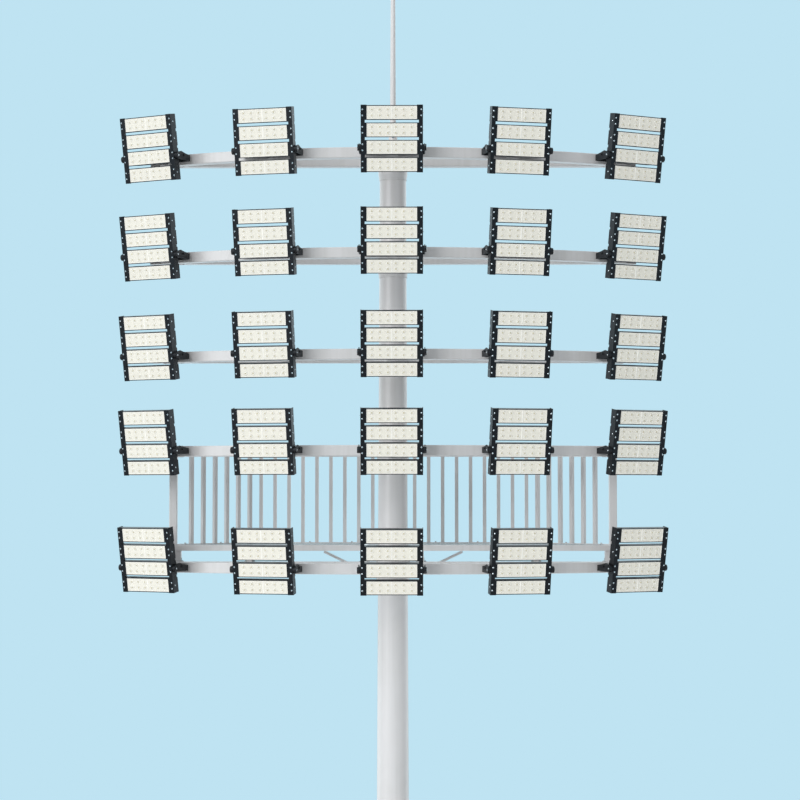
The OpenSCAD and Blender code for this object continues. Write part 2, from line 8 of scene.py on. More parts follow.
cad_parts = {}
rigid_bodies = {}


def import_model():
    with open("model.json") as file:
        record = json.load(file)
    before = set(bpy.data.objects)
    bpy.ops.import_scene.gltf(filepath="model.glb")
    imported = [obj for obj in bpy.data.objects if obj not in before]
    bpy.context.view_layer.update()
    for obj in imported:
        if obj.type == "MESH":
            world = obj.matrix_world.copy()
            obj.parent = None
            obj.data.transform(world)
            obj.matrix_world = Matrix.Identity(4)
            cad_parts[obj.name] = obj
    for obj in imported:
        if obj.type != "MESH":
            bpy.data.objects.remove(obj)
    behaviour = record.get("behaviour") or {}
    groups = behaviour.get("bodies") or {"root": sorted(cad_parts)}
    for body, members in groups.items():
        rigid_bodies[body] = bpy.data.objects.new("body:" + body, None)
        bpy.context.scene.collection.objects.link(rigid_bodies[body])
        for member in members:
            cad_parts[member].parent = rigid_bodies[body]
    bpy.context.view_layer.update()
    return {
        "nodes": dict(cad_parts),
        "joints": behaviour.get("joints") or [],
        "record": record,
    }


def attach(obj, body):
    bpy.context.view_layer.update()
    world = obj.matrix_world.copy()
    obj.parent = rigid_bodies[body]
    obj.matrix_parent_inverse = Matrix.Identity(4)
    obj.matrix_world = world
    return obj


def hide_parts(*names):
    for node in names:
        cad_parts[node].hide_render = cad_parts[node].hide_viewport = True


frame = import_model()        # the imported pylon, in metres: the lamps face -Y, the flange stands on z = 0
nodes = frame["nodes"]
lampJoints = frame["joints"]
mastBody = lampJoints[0]["parent"]
print("frame loaded:", len(nodes), "nodes,", len(lampJoints), "lamps")


# Small helpers for shaders

def linear(hexColour):
    # sRGB hex to the linear colour that shaders take
    parts = [int(hexColour[i:i + 2], 16) / 255 for i in (1, 3, 5)]
    return tuple(p / 12.92 if p <= 0.04045 else ((p + 0.055) / 1.055) ** 2.4 for p in parts) + (1.0,)


def addNode(tree, kind, values=None, links=None, **settings):
    # one shader node: its settings, the values of its sockets, and what feeds them
    node = tree.nodes.new(kind)
    for name, value in settings.items():
        setattr(node, name, value)
    for name, value in (values or {}).items():
        node.inputs[name].default_value = value
    for name, source in (links or {}).items():
        tree.links.new(source, node.inputs[name])
    return node


def newMaterial(name):
    material = bpy.data.materials.new(name)
    material.use_nodes = True
    tree = material.node_tree
    tree.nodes.clear()
    shader = addNode(tree, "ShaderNodeBsdfPrincipled")
    addNode(tree, "ShaderNodeOutputMaterial", links={"Surface": shader.outputs[0]})
    coords = addNode(tree, "ShaderNodeTexCoord").outputs["Object"]
    return material, tree, shader, coords


def perMetre(mm):
    # texture scale that draws a feature this many millimetres wide
    return 1000 / mm


# Materials, each named for the real finish

mastPaintValues = {
    "colour": "#D5D5D6",
    "soiled": "#BEBEBB",
    "soilAmount": 0.4,
    "soilRange": (0.2, 0.42),    # of the pattern, from clean to soiled
    "cloudMm": 650,
    "streakMm": (60, 60, 2400),
    "peelMm": 24,            # real orange peel is 3 mm wide, drawn coarser so that it shows
    "peelHeight": 0.0005,
    "peelStrength": 0.3,
    "roughness": (0.26, 0.38),
}


def makeMastPaint(values):
    # two-pack polyurethane sprayed over zinc: satin, with faint orange peel and rain streaks down the tube
    material, tree, shader, coords = newMaterial("sprayedMastPaint")
    clouds = addNode(tree, "ShaderNodeTexNoise", {"Scale": perMetre(values["cloudMm"]), "Detail": 3.0},
                     {"Vector": coords}).outputs[0]
    stretched = addNode(tree, "ShaderNodeMapping", {"Scale": [perMetre(mm) for mm in values["streakMm"]]},
                        {"Vector": coords}).outputs[0]
    streaks = addNode(tree, "ShaderNodeTexNoise", {"Scale": 1.0, "Detail": 4.0},
                      {"Vector": stretched}).outputs[0]
    both = addNode(tree, "ShaderNodeMath", links={0: clouds, 1: streaks}, operation="MULTIPLY").outputs[0]
    clean, soiled = values["soilRange"]
    soil = addNode(tree, "ShaderNodeMapRange",
                   {"From Min": clean, "From Max": soiled, "To Max": values["soilAmount"]},
                   {"Value": both}).outputs[0]
    colour = addNode(tree, "ShaderNodeMix", {6: linear(values["colour"]), 7: linear(values["soiled"])},
                     {0: soil}, data_type="RGBA").outputs[2]
    smooth, dull = values["roughness"]
    rough = addNode(tree, "ShaderNodeMapRange", {"To Min": smooth, "To Max": dull},
                    {"Value": clouds}).outputs[0]
    peel = addNode(tree, "ShaderNodeTexNoise", {"Scale": perMetre(values["peelMm"]), "Detail": 1.0},
                   {"Vector": coords}).outputs[0]
    bump = addNode(tree, "ShaderNodeBump",
                   {"Strength": values["peelStrength"], "Distance": values["peelHeight"]}, {"Height": peel})
    tree.links.new(colour, shader.inputs["Base Color"])
    tree.links.new(rough, shader.inputs["Roughness"])
    tree.links.new(bump.outputs[0], shader.inputs["Normal"])
    return material


galvanisedValues = {
    "bright": "#C6CACB",
    "dull": "#A9AEB0",
    "spangleMm": 26,         # zinc crystals are 8 to 15 mm wide, drawn coarser so that they show
    "grainMm": 9,
    "grainHeight": 0.0005,
    "grainStrength": 0.25,
    "metallic": 0.5,
    "roughness": (0.36, 0.58),
}


def makeGalvanisedSteel(values):
    # hot-dip galvanised steel: grey zinc crystals that shine differently from each other
    material, tree, shader, coords = newMaterial("hotDipGalvanisedSteel")
    crystals = addNode(tree, "ShaderNodeTexVoronoi", {"Scale": perMetre(values["spangleMm"])},
                       {"Vector": coords})
    shade = addNode(tree, "ShaderNodeSeparateColor", links={0: crystals.outputs["Color"]}).outputs[0]
    colour = addNode(tree, "ShaderNodeMix", {6: linear(values["bright"]), 7: linear(values["dull"])},
                     {0: shade}, data_type="RGBA").outputs[2]
    smooth, dull = values["roughness"]
    rough = addNode(tree, "ShaderNodeMapRange", {"To Min": smooth, "To Max": dull},
                    {"Value": shade}).outputs[0]
    grain = addNode(tree, "ShaderNodeTexNoise", {"Scale": perMetre(values["grainMm"]), "Detail": 2.0},
                    {"Vector": coords}).outputs[0]
    bump = addNode(tree, "ShaderNodeBump",
                   {"Strength": values["grainStrength"], "Distance": values["grainHeight"]}, {"Height": grain})
    shader.inputs["Metallic"].default_value = values["metallic"]
    tree.links.new(colour, shader.inputs["Base Color"])
    tree.links.new(rough, shader.inputs["Roughness"])
    tree.links.new(bump.outputs[0], shader.inputs["Normal"])
    return material


housingValues = {
    "colour": "#17181B",
    "worn": "#242528",
    "dust": "#6E6C67",
    "dustAmount": 0.16,
    "dustFrom": 0.3,         # how much a face looks up where dust begins
    "lineMm": (500, 7, 7),   # die lines are under 1 mm wide, drawn coarser so that they show
    "lineHeight": 0.0004,
    "lineStrength": 0.2,
    "metallic": 0.8,
    "roughness": (0.34, 0.5),
}


def makeHousing(name, turn, values):
    # black anodised extrusion: dyed oxide over aluminium, die lines along the module, dust on what faces up
    material, tree, shader, coords = newMaterial(name)
    along = addNode(tree, "ShaderNodeMapping", {"Rotation": (0, 0, -turn)}, {"Vector": coords},
                    vector_type="POINT").outputs[0]
    stretched = addNode(tree, "ShaderNodeMapping", {"Scale": [perMetre(mm) for mm in values["lineMm"]]},
                        {"Vector": along}).outputs[0]
    lines = addNode(tree, "ShaderNodeTexNoise", {"Scale": 1.0, "Detail": 2.0},
                    {"Vector": stretched}).outputs[0]
    metal = addNode(tree, "ShaderNodeMix", {6: linear(values["colour"]), 7: linear(values["worn"])},
                    {0: lines}, data_type="RGBA").outputs[2]
    facing = addNode(tree, "ShaderNodeNewGeometry").outputs["Normal"]
    upward = addNode(tree, "ShaderNodeSeparateXYZ", links={0: facing}).outputs["Z"]
    dust = addNode(tree, "ShaderNodeMapRange",
                   {"From Min": values["dustFrom"], "To Max": values["dustAmount"]},
                   {"Value": upward}).outputs[0]
    colour = addNode(tree, "ShaderNodeMix", {7: linear(values["dust"])}, {0: dust, 6: metal},
                     data_type="RGBA").outputs[2]
    smooth, dull = values["roughness"]
    rough = addNode(tree, "ShaderNodeMapRange", {"To Min": smooth, "To Max": dull},
                    {"Value": lines}).outputs[0]
    bump = addNode(tree, "ShaderNodeBump",
                   {"Strength": values["lineStrength"], "Distance": values["lineHeight"]}, {"Height": lines})
    shader.inputs["Metallic"].default_value = values["metallic"]
    tree.links.new(colour, shader.inputs["Base Color"])
    tree.links.new(rough, shader.inputs["Roughness"])
    tree.links.new(bump.outputs[0], shader.inputs["Normal"])
    return material


powderValues = {
    "colour": "#161618",
    "faded": "#212124",
    "grainMm": 12,           # real grain is about 1 mm wide, drawn coarser so that it shows
    "grainHeight": 0.0005,
    "grainStrength": 0.4,
    "roughness": (0.46, 0.6),
    "shine": 0.25,
}


def makeBlackPowder(values):
    # black powder coat baked on steel: low gloss, finely pebbled
    material, tree, shader, coords = newMaterial("blackPowderCoat")
    grain = addNode(tree, "ShaderNodeTexNoise", {"Scale": perMetre(values["grainMm"]), "Detail": 3.0},
                    {"Vector": coords}).outputs[0]
    colour = addNode(tree, "ShaderNodeMix", {6: linear(values["colour"]), 7: linear(values["faded"])},
                     {0: grain}, data_type="RGBA").outputs[2]
    smooth, dull = values["roughness"]
    rough = addNode(tree, "ShaderNodeMapRange", {"To Min": smooth, "To Max": dull},
                    {"Value": grain}).outputs[0]
    bump = addNode(tree, "ShaderNodeBump",
                   {"Strength": values["grainStrength"], "Distance": values["grainHeight"]}, {"Height": grain})
    shader.inputs["Specular IOR Level"].default_value = values["shine"]
    tree.links.new(colour, shader.inputs["Base Color"])
    tree.links.new(rough, shader.inputs["Roughness"])
    tree.links.new(bump.outputs[0], shader.inputs["Normal"])
    return material


plasticValues = {
    "ior": 1.58,             # of polycarbonate
    "frame": "#FDFCF7",
    "frameShade": "#F6F4EC",
    "frameCloudMm": 90,
    "frameRoughness": 0.28,
    "board": "#EDEADF",
    "boardSpot": "#E7E4D8",
    "spotMm": 44,
    "boardRoughness": 0.5,
    "coat": 0.6,
    "coatRoughness": 0.12,
    "phosphor": "#C6BE9A",
    "phosphorShade": "#B4AC88",
    "phosphorGrainMm": 4,
    "phosphorRoughness": 0.4,
    "cover": "#FFFFFF",
    "coverShade": "#F6F5EE",
    "coverCloudMm": 60,
    "coverRoughness": 0.16,
    "coverAlpha": 0.22,
}


def makeLensFrame(values):
    # moulded white polycarbonate around each lens panel: bright, with a soft shine
    material, tree, shader, coords = newMaterial("mouldedWhitePolycarbonate")
    cloud = addNode(tree, "ShaderNodeTexNoise", {"Scale": perMetre(values["frameCloudMm"])},
                    {"Vector": coords}).outputs[0]
    colour = addNode(tree, "ShaderNodeMix", {6: linear(values["frame"]), 7: linear(values["frameShade"])},
                     {0: cloud}, data_type="RGBA").outputs[2]
    shader.inputs["Roughness"].default_value = values["frameRoughness"]
    shader.inputs["IOR"].default_value = values["ior"]
    tree.links.new(colour, shader.inputs["Base Color"])
    return material


def makeLightBoard(values):
    # white solder mask behind the clear cover: cream, a little uneven, with the cover's shine as a coat
    material, tree, shader, coords = newMaterial("whiteSolderMaskBoard")
    cloud = addNode(tree, "ShaderNodeTexNoise", {"Scale": perMetre(values["spotMm"]), "Detail": 1.0},
                    {"Vector": coords}).outputs[0]
    colour = addNode(tree, "ShaderNodeMix", {6: linear(values["board"]), 7: linear(values["boardSpot"])},
                     {0: cloud}, data_type="RGBA").outputs[2]
    shader.inputs["Roughness"].default_value = values["boardRoughness"]
    shader.inputs["Coat Weight"].default_value = values["coat"]
    shader.inputs["Coat Roughness"].default_value = values["coatRoughness"]
    tree.links.new(colour, shader.inputs["Base Color"])
    return material


def makePhosphor(values):
    # light-emitting chip, switched off: pale yellow phosphor in silicone
    material, tree, shader, coords = newMaterial("yellowPhosphorChip")
    grain = addNode(tree, "ShaderNodeTexNoise", {"Scale": perMetre(values["phosphorGrainMm"])},
                    {"Vector": coords}).outputs[0]
    colour = addNode(tree, "ShaderNodeMix",
                     {6: linear(values["phosphor"]), 7: linear(values["phosphorShade"])},
                     {0: grain}, data_type="RGBA").outputs[2]
    shader.inputs["Roughness"].default_value = values["phosphorRoughness"]
    tree.links.new(colour, shader.inputs["Base Color"])
    return material


def makeClearLens(values):
    # clear moulded polycarbonate: glossy, with the board seen through it
    material, tree, shader, coords = newMaterial("clearPolycarbonateLens")
    cloud = addNode(tree, "ShaderNodeTexNoise", {"Scale": perMetre(values["coverCloudMm"])},
                    {"Vector": coords}).outputs[0]
    colour = addNode(tree, "ShaderNodeMix", {6: linear(values["cover"]), 7: linear(values["coverShade"])},
                     {0: cloud}, data_type="RGBA").outputs[2]
    shader.inputs["Roughness"].default_value = values["coverRoughness"]
    shader.inputs["IOR"].default_value = values["ior"]
    shader.inputs["Alpha"].default_value = values["coverAlpha"]
    tree.links.new(colour, shader.inputs["Base Color"])
    return material


stainlessValues = {"colour": "#DADCDE", "grainMm": 5, "roughness": (0.18, 0.34)}


def makeStainless(values):
    # turned stainless steel: bright, with a little grain
    material, tree, shader, coords = newMaterial("turnedStainlessSteel")
    grain = addNode(tree, "ShaderNodeTexNoise", {"Scale": perMetre(values["grainMm"])},
                    {"Vector": coords}).outputs[0]
    smooth, dull = values["roughness"]
    rough = addNode(tree, "ShaderNodeMapRange", {"To Min": smooth, "To Max": dull},
                    {"Value": grain}).outputs[0]
    shader.inputs["Metallic"].default_value = 1.0
    shader.inputs["Base Color"].default_value = linear(values["colour"])
    tree.links.new(rough, shader.inputs["Roughness"])
    return material


mastPaint = makeMastPaint(mastPaintValues)
galvanisedSteel = makeGalvanisedSteel(galvanisedValues)
blackPowder = makeBlackPowder(powderValues)
lensFrame = makeLensFrame(plasticValues)
lightBoard = makeLightBoard(plasticValues)
phosphor = makePhosphor(plasticValues)
clearLens = makeClearLens(plasticValues)
stainless = makeStainless(stainlessValues)
print("materials made")


# Places worked out from the frame

def turnOf(joint):
    # angle of a lamp's column about the vertical
    return math.atan2(joint["axis"][1], joint["axis"][0])


def dress(names, material):
    for name in names:
        slots = nodes[name].data.materials
        slots.clear()
        slots.append(material)


housings = {}
for joint in lampJoints:
    turn = round(turnOf(joint), 4)
    if turn not in housings:
        housings[turn] = makeHousing("blackAnodisedHousing%d" % (len(housings) + 1), turn, housingValues)
    dress([joint["child"]], housings[turn])
slotFinish = {"mast_paint": mastPaint, "galvanised_steel": galvanisedSteel, "black_steel": blackPowder}
for part in frame["record"]["subparts"]:
    if part["material_slot"] in slotFinish:
        dress([part["node"]], slotFinish[part["material_slot"]])
frameHeights = sorted({round(joint["pos_m"][2], 4) for joint in lampJoints}, reverse=True)
print("CAD nodes dressed")


# Helpers for mesh pieces

def shift(x, y, z):
    return Matrix.Translation((x, y, z))


def turned(degrees, axis):
    return Matrix.Rotation(math.radians(degrees), 4, axis)


def addBox(bm, size, place=Matrix(), slot=0):
    made = bmesh.ops.create_cube(bm, size=1, matrix=place @ Matrix.Diagonal((*size, 1)))["verts"]
    for face in {f for v in made for f in v.link_faces}:
        face.material_index = slot
    return made


def bevelEdges(bm, made, width, segments):
    # rounds the edges of a box that was just added
    edges = list({e for v in made for e in v.link_edges})
    bmesh.ops.bevel(bm, geom=edges, offset=width, segments=segments, profile=0.5, affect="EDGES", material=-1)


def addRod(bm, radius, length, place=Matrix(), sides=12, tip=None, slot=0):
    # upright rod or prism that starts at the place's origin
    made = bmesh.ops.create_cone(bm, cap_ends=True, segments=sides, radius1=radius,
                                 radius2=radius if tip is None else tip, depth=length,
                                 matrix=place @ shift(0, 0, length / 2))["verts"]
    for face in {f for v in made for f in v.link_faces}:
        face.material_index = slot
    return made


boltShape = {                # shares of the size across the flats, and of the head's height or radius
    "washerRadius": 0.92,
    "washerThick": 0.12,
    "height": 0.6,
    "straight": 0.85,
    "tip": 0.86,
}
screwShape = {               # shares of the diameter, and of the head's height or radius
    "height": 0.36,
    "straight": 0.55,
    "tip": 0.62,
    "rim": 0.16,
    "socketTaper": 0.02,
    "socketDepth": 0.5,
}
beadShape = {"length": 1.3, "tip": 0.7}      # of a lump, against its step along the path and its radius


def addBolt(bm, place, across, slot=0):
    # hexagon head on a washer, standing up from the place's origin
    shape = boltShape
    radius = across / 2 / math.cos(math.pi / 6)
    washer = across * shape["washerThick"]
    height = across * shape["height"]
    straight = height * shape["straight"]
    addRod(bm, across * shape["washerRadius"], washer, place, 20, slot=slot)
    addRod(bm, radius, straight, place @ shift(0, 0, washer), 6, slot=slot)
    addRod(bm, radius, height - straight, place @ shift(0, 0, washer + straight), 6,
           radius * shape["tip"], slot=slot)


def addScrew(bm, place, diameter, slot=0):
    # pan head with a hexagon socket
    shape = screwShape
    radius = diameter / 2
    height = diameter * shape["height"]
    straight = height * shape["straight"]
    addRod(bm, radius, straight, place, 12, slot=slot)
    crown = addRod(bm, radius, height - straight, place @ shift(0, 0, straight), 12,
                   radius * shape["tip"], slot=slot)
    out = (place.to_3x3() @ Vector((0, 0, 1))).normalized()
    faces = {f for v in crown for f in v.link_faces}
    for face in faces:
        face.normal_update()
    top = max(faces, key=lambda f: (len(f.verts) > 4, f.calc_center_median().dot(out)))
    bmesh.ops.inset_region(bm, faces=[top], thickness=radius * shape["rim"], depth=0)
    bmesh.ops.inset_region(bm, faces=[top], thickness=radius * shape["socketTaper"],
                           depth=-height * shape["socketDepth"])


def addBead(bm, path, radius):
    # rippled weld bead: short tapered lumps that overlap along the path
    for a, b in zip(path, path[1:]):
        along = b - a
        place = Matrix.Translation(a) @ along.to_track_quat("Z", "Y").to_matrix().to_4x4()
        addRod(bm, radius, along.length * beadShape["length"], place, 6, radius * beadShape["tip"])


def ringPath(radius, z, step=0.014):
    count = max(12, round(2 * math.pi * radius / step))
    turns = [2 * math.pi * k / count for k in range(count + 1)]
    return [Vector((radius * math.cos(a), radius * math.sin(a), z)) for a in turns]


def squareLoop(half, perSide=9):
    # places around a square, the first again at the end
    corners = [(half, half), (-half, half), (-half, -half), (half, -half), (half, half)]
    loop = [(a[0] + (b[0] - a[0]) * k / perSide, a[1] + (b[1] - a[1]) * k / perSide)
            for a, b in zip(corners, corners[1:]) for k in range(perSide)]
    return loop + loop[:1]


def makePiece(name, bm, materials, body, place=Matrix(), sharp=38):
    # one object at the origin with its place in its mesh
    mesh = bpy.data.meshes.new(name)
    bm.to_mesh(mesh)
    mesh.transform(place)
    for material in materials:
        mesh.materials.append(material)
    mesh.shade_smooth()
    mesh.set_sharp_from_angle(angle=math.radians(sharp))
    piece = bpy.data.objects.new(name, mesh)
    bpy.context.scene.collection.objects.link(piece)
    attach(piece, body)
    return piece


# Light modules and screws of the floodlights

lampValues = {
    "restTilt": 10,          # degrees below the horizontal
    "halfWidth": 0.345,
    "flange": 0.066,         # width of the front flange
    "flangeFront": -0.040,   # where its front lies before the tilt axis
    "top": 0.464,            # top of the first module over the tilt axis
    "modules": 4,
    "moduleHeight": 0.162,
    "moduleGap": 0.029,
    "grooveY": -0.033,       # bottom of the groove for the lens panel
    "lensHeight": 0.144,
    "panelThick": 0.0042,
    "panelBorder": 0.0065,
    "boardDepth": 0.0018,    # of the board below the panel's border
    "boardSlope": 0.0012,    # width of the step down to it
    "ribWidth": 0.004,
    "ribShare": (0.8, 1.3),  # its width and depth against ribWidth and panelThick
    "chipPitch": 0.088,
    "chipRows": 0.065,
    "chipSize": 0.017,
    "chipThick": 0.0012,
    "domeRadius": 0.027,
    "domeHeight": 0.008,
    "domeSeat": 0.0016,      # of a dome's base behind the panel's front
    "domeSides": 14,
    "screwInset": 0.019,     # from the flange's outer edge
    "screwRows": 0.067,
    "screwSize": 0.017,
    "sideScrewY": -0.004,
    "headX": 0.383,          # outside of the washer head
    "pinBolt": 0.010,
}


def moduleHeights(values):
    pitch = values["moduleHeight"] + values["moduleGap"]
    return [values["top"] - values["moduleHeight"] / 2 - m * pitch for m in range(values["modules"])]


def chipPlaces(values):
    # the twelve chips of each module, as x and z
    return [(x * values["chipPitch"] / 2, z + row * values["chipRows"] / 2)
            for z in moduleHeights(values) for x in (-5, -3, -1, 1, 3, 5) for row in (-1, 1)]


def buildLightPanels(values):
    # white frames with a recessed board, two for each module, a bright rib between them, and the chips
    bm = bmesh.new()
    halfLens = values["halfWidth"] - values["flange"]
    width = halfLens - values["ribWidth"] / 2
    middleY = values["grooveY"] - values["panelThick"] / 2
    wide, deep = values["ribShare"]
    ribDeep = values["panelThick"] * deep
    for z in moduleHeights(values):
        for side in (-1, 1):
            place = shift(side * (values["ribWidth"] + width) / 2, middleY, z)
            made = addBox(bm, (width, values["panelThick"], values["lensHeight"]), place)
            faces = {f for v in made for f in v.link_faces}
            for face in faces:
                face.normal_update()
            front = min(faces, key=lambda f: f.normal.y)
            bmesh.ops.inset_region(bm, faces=[front], thickness=values["panelBorder"], depth=0)
            bmesh.ops.inset_region(bm, faces=[front], thickness=values["boardSlope"],
                                   depth=-values["boardDepth"])
            front.material_index = 1
        addBox(bm, (values["ribWidth"] * wide, ribDeep, values["lensHeight"]),
               shift(0, values["grooveY"] - ribDeep / 2, z))
    boardY = values["grooveY"] - values["panelThick"] + values["boardDepth"]
    size, thick = values["chipSize"], values["chipThick"]
    for x, z in chipPlaces(values):
        addBox(bm, (size, thick, size), shift(x, boardY - thick / 2, z), 2)
    return bm


def buildDomes(values):
    # twelve clear domes for each module
    bm = bmesh.new()
    radius, height = values["domeRadius"], values["domeHeight"]
    baseY = values["grooveY"] - values["panelThick"] + values["domeSeat"]
    arc = [math.radians(a) for a in (0, 30, 60)]
    outline = [(0, 0), *[(radius * math.cos(a), -height * math.sin(a)) for a in arc], (0, -height)]
    for x, z in chipPlaces(values):
        verts = [bm.verts.new((x + r, baseY + y, z)) for r, y in outline]
        edges = [bm.edges.new(pair) for pair in zip(verts, verts[1:])]
        bmesh.ops.spin(bm, geom=verts + edges, cent=(x, baseY, z), axis=(0, 1, 0), angle=2 * math.pi,
                       steps=values["domeSides"], use_merge=True)
    bmesh.ops.remove_doubles(bm, verts=bm.verts, dist=0.00005)
    bmesh.ops.recalc_face_normals(bm, faces=bm.faces)
    return bm


def buildLampScrews(values):
    bm = bmesh.new()
    out = values["halfWidth"]
    for side in (-1, 1):
        for z in moduleHeights(values):
            for row in (-1, 1):
                place = shift(side * (out - values["screwInset"]), values["flangeFront"],
                              z + row * values["screwRows"] / 2)
                addScrew(bm, place @ turned(90, "X"), values["screwSize"])
            addScrew(bm, shift(side * out, values["sideScrewY"], z) @ turned(side * 90, "Y"),
                     values["screwSize"])
        addBolt(bm, shift(side * values["headX"], 0, 0) @ turned(side * 90, "Y"), values["pinBolt"])
    return bm


panelMesh = buildLightPanels(lampValues)
domeMesh = buildDomes(lampValues)
lampScrewMesh = buildLampScrews(lampValues)
for joint in lampJoints:
    lamp = joint["child"]
    place = (Matrix.Translation(joint["pos_m"]) @ Matrix.Rotation(turnOf(joint), 4, "Z")
             @ turned(lampValues["restTilt"], "X"))
    makePiece(lamp + "_panels", panelMesh, [lensFrame, lightBoard, phosphor], lamp, place)
    makePiece(lamp + "_domes", domeMesh, [clearLens], lamp, place, 80)
    makePiece(lamp + "_screws", lampScrewMesh, [stainless], lamp, place)
print("floodlights dressed")


# Bolts of the yokes

yokeValues = {
    "backY": 0.270,          # front of the yoke's cross plate behind the tilt axis
    "barBack": 0.420,        # rear of the curved bar behind the tilt axis
    "boltX": 0.045,
    "armX": 0.370,           # outside of an arm
    "lockY": 0.127,
    "lockZ": 0.020,
    "across": 0.024,
    "lockAcross": 0.019,
}


def buildYokeBolts(values):
    # zinc bolts through the bar, and a black lock screw on each arm
    bm = bmesh.new()
    for side in (-1, 1):
        addBolt(bm, shift(side * values["boltX"], values["backY"], 0) @ turned(90, "X"), values["across"])
        addBolt(bm, shift(side * values["boltX"], values["barBack"], 0) @ turned(-90, "X"), values["across"])
        addBolt(bm, shift(side * values["armX"], values["lockY"], values["lockZ"]) @ turned(side * 90, "Y"),
                values["lockAcross"], 1)
    return bm


yokeBoltMesh = buildYokeBolts(yokeValues)
for joint in lampJoints:
    place = Matrix.Translation(joint["pos_m"]) @ Matrix.Rotation(turnOf(joint), 4, "Z")
    makePiece(joint["child"].replace("lamp", "yoke") + "_bolts", yokeBoltMesh, [galvanisedSteel, blackPowder],
              mastBody, place)
print("yokes bolted")


# Mast: welds, cap, service door and foot

mastValues = {
    "footZ": 0.030,
    "footRadius": 0.2375,
    "topZ": 20.140,
    "topRadius": 0.151,
    "capSkirt": 0.006,       # wall of the cap over the mast
    "capEdgeZ": 20.095,
    "capTopZ": 20.146,
    "capBead": 0.004,        # radius of the weld beads at cone and socket
    "capScrews": 4,
    "capScrew": 0.014,
    "socketZ": 20.216,
    "socketTopZ": 20.306,
    "socketRadius": 0.048,
    "socketRipple": 0.010,   # between two lumps of a bead
    "socketBolts": 3,
    "socketBolt": 0.013,
    "socketBoltStep": 0.022,
    "rodRadius": 0.035,
    "rodBead": 0.003,
    "rodRipple": 0.008,
}


def mastRadius(z):
    # the mast tapers evenly from its foot to its top
    slope = (mastValues["footRadius"] - mastValues["topRadius"]) / (mastValues["topZ"] - mastValues["footZ"])
    return mastValues["footRadius"] - (z - mastValues["footZ"]) * slope


def buildCapDetails(values):
    # weld beads of cone and socket, the bead under the rod, and the set screws
    bm = bmesh.new()
    skirt = mastRadius(values["capEdgeZ"]) + values["capSkirt"]
    addBead(bm, ringPath(skirt, values["capTopZ"]), values["capBead"])
    addBead(bm, ringPath(values["socketRadius"], values["socketZ"], values["socketRipple"]), values["capBead"])
    addBead(bm, ringPath(values["rodRadius"], values["socketTopZ"], values["rodRipple"]), values["rodBead"])
    skirtZ = (values["capEdgeZ"] + values["capTopZ"]) / 2
    for k in range(values["capScrews"]):
        turn = 45 + 360 * k / values["capScrews"]
        addScrew(bm, turned(turn, "Z") @ shift(skirt, 0, skirtZ) @ turned(90, "Y"), values["capScrew"], 1)
    socketMiddle = (values["socketZ"] + values["socketTopZ"]) / 2
    for k in range(values["socketBolts"]):
        turn = 30 + 360 * k / values["socketBolts"]
        for z in (-values["socketBoltStep"], values["socketBoltStep"]):
            addBolt(bm, turned(turn, "Z") @ shift(values["socketRadius"], 0, socketMiddle + z)
                    @ turned(90, "Y"), values["socketBolt"], 1)
    return bm


doorValues = {
    "middleZ": 0.950,
    "cover": 0.005,          # how far the cover stands off the mast
    "line": 0.096,           # half of the width between the two rows of screws
    "straight": 0.225,       # half of the straight length of the slot
    "screw": 0.015,
}


def buildDoorScrews(values):
    bm = bmesh.new()
    places = [(side * values["line"], values["straight"] * k / 3) for side in (-1, 1) for k in (-3, -1, 1, 3)]
    for end in (-1, 1):
        for a in (45, 90, 135):
            places.append((values["line"] * math.cos(math.radians(a)),
                           end * (values["straight"] + values["line"] * math.sin(math.radians(a)))))
    for across, up in places:
        z = values["middleZ"] + up
        radius = mastRadius(z) + values["cover"]
        around = math.degrees(math.asin(across / radius))
        addScrew(bm, turned(-around, "Z") @ shift(0, radius, z) @ turned(-90, "X"), values["screw"])
    return bm


footValues = {
    "boltCircle": 0.325,
    "boltCount": 12,
    "flangeTop": 0.030,
    "studRadius": 0.018,
    "studFoot": 0.002,
    "studTop": 0.118,
    "studTip": 0.003,        # height of the chamfered end
    "studTaper": 0.8,
    "washerRadius": 0.034,
    "washerThick": 0.006,
    "nutAcross": 0.055,
    "nutHeight": 0.029,
    "lockNut": 0.55,         # its height against the nut's
    "nutStraight": 0.88,     # share of a nut's height below its chamfer, and of its radius above
    "bead": 0.007,
    "ribHalf": 0.006,        # half of the thickness of a gusset rib
    "ribOut": 0.372,
    "ribBead": 0.7,          # against the bead around the mast
    "ribLumps": 9,
}


def buildAnchors(values):
    # threaded rods with washer, nut and thin lock nut
    bm = bmesh.new()
    stud, foot = values["studRadius"], values["studFoot"]
    tipZ = values["studTop"] - values["studTip"]
    nutRadius = values["nutAcross"] / 2 / math.cos(math.pi / 6)
    for k in range(values["boltCount"]):
        place = turned(360 * k / values["boltCount"], "Z") @ shift(values["boltCircle"], 0, 0)
        addRod(bm, stud, tipZ - foot, place @ shift(0, 0, foot), 20)
        addRod(bm, stud, values["studTip"], place @ shift(0, 0, tipZ), 20, stud * values["studTaper"])
        z = values["flangeTop"]
        addRod(bm, values["washerRadius"], values["washerThick"], place @ shift(0, 0, z), 28)
        z += values["washerThick"]
        for height in (values["nutHeight"], values["nutHeight"] * values["lockNut"]):
            straight = height * values["nutStraight"]
            addRod(bm, nutRadius, straight, place @ shift(0, 0, z), 6)
            addRod(bm, nutRadius, height - straight, place @ shift(0, 0, z + straight), 6,
                   nutRadius * values["nutStraight"])
            z += height
    return bm


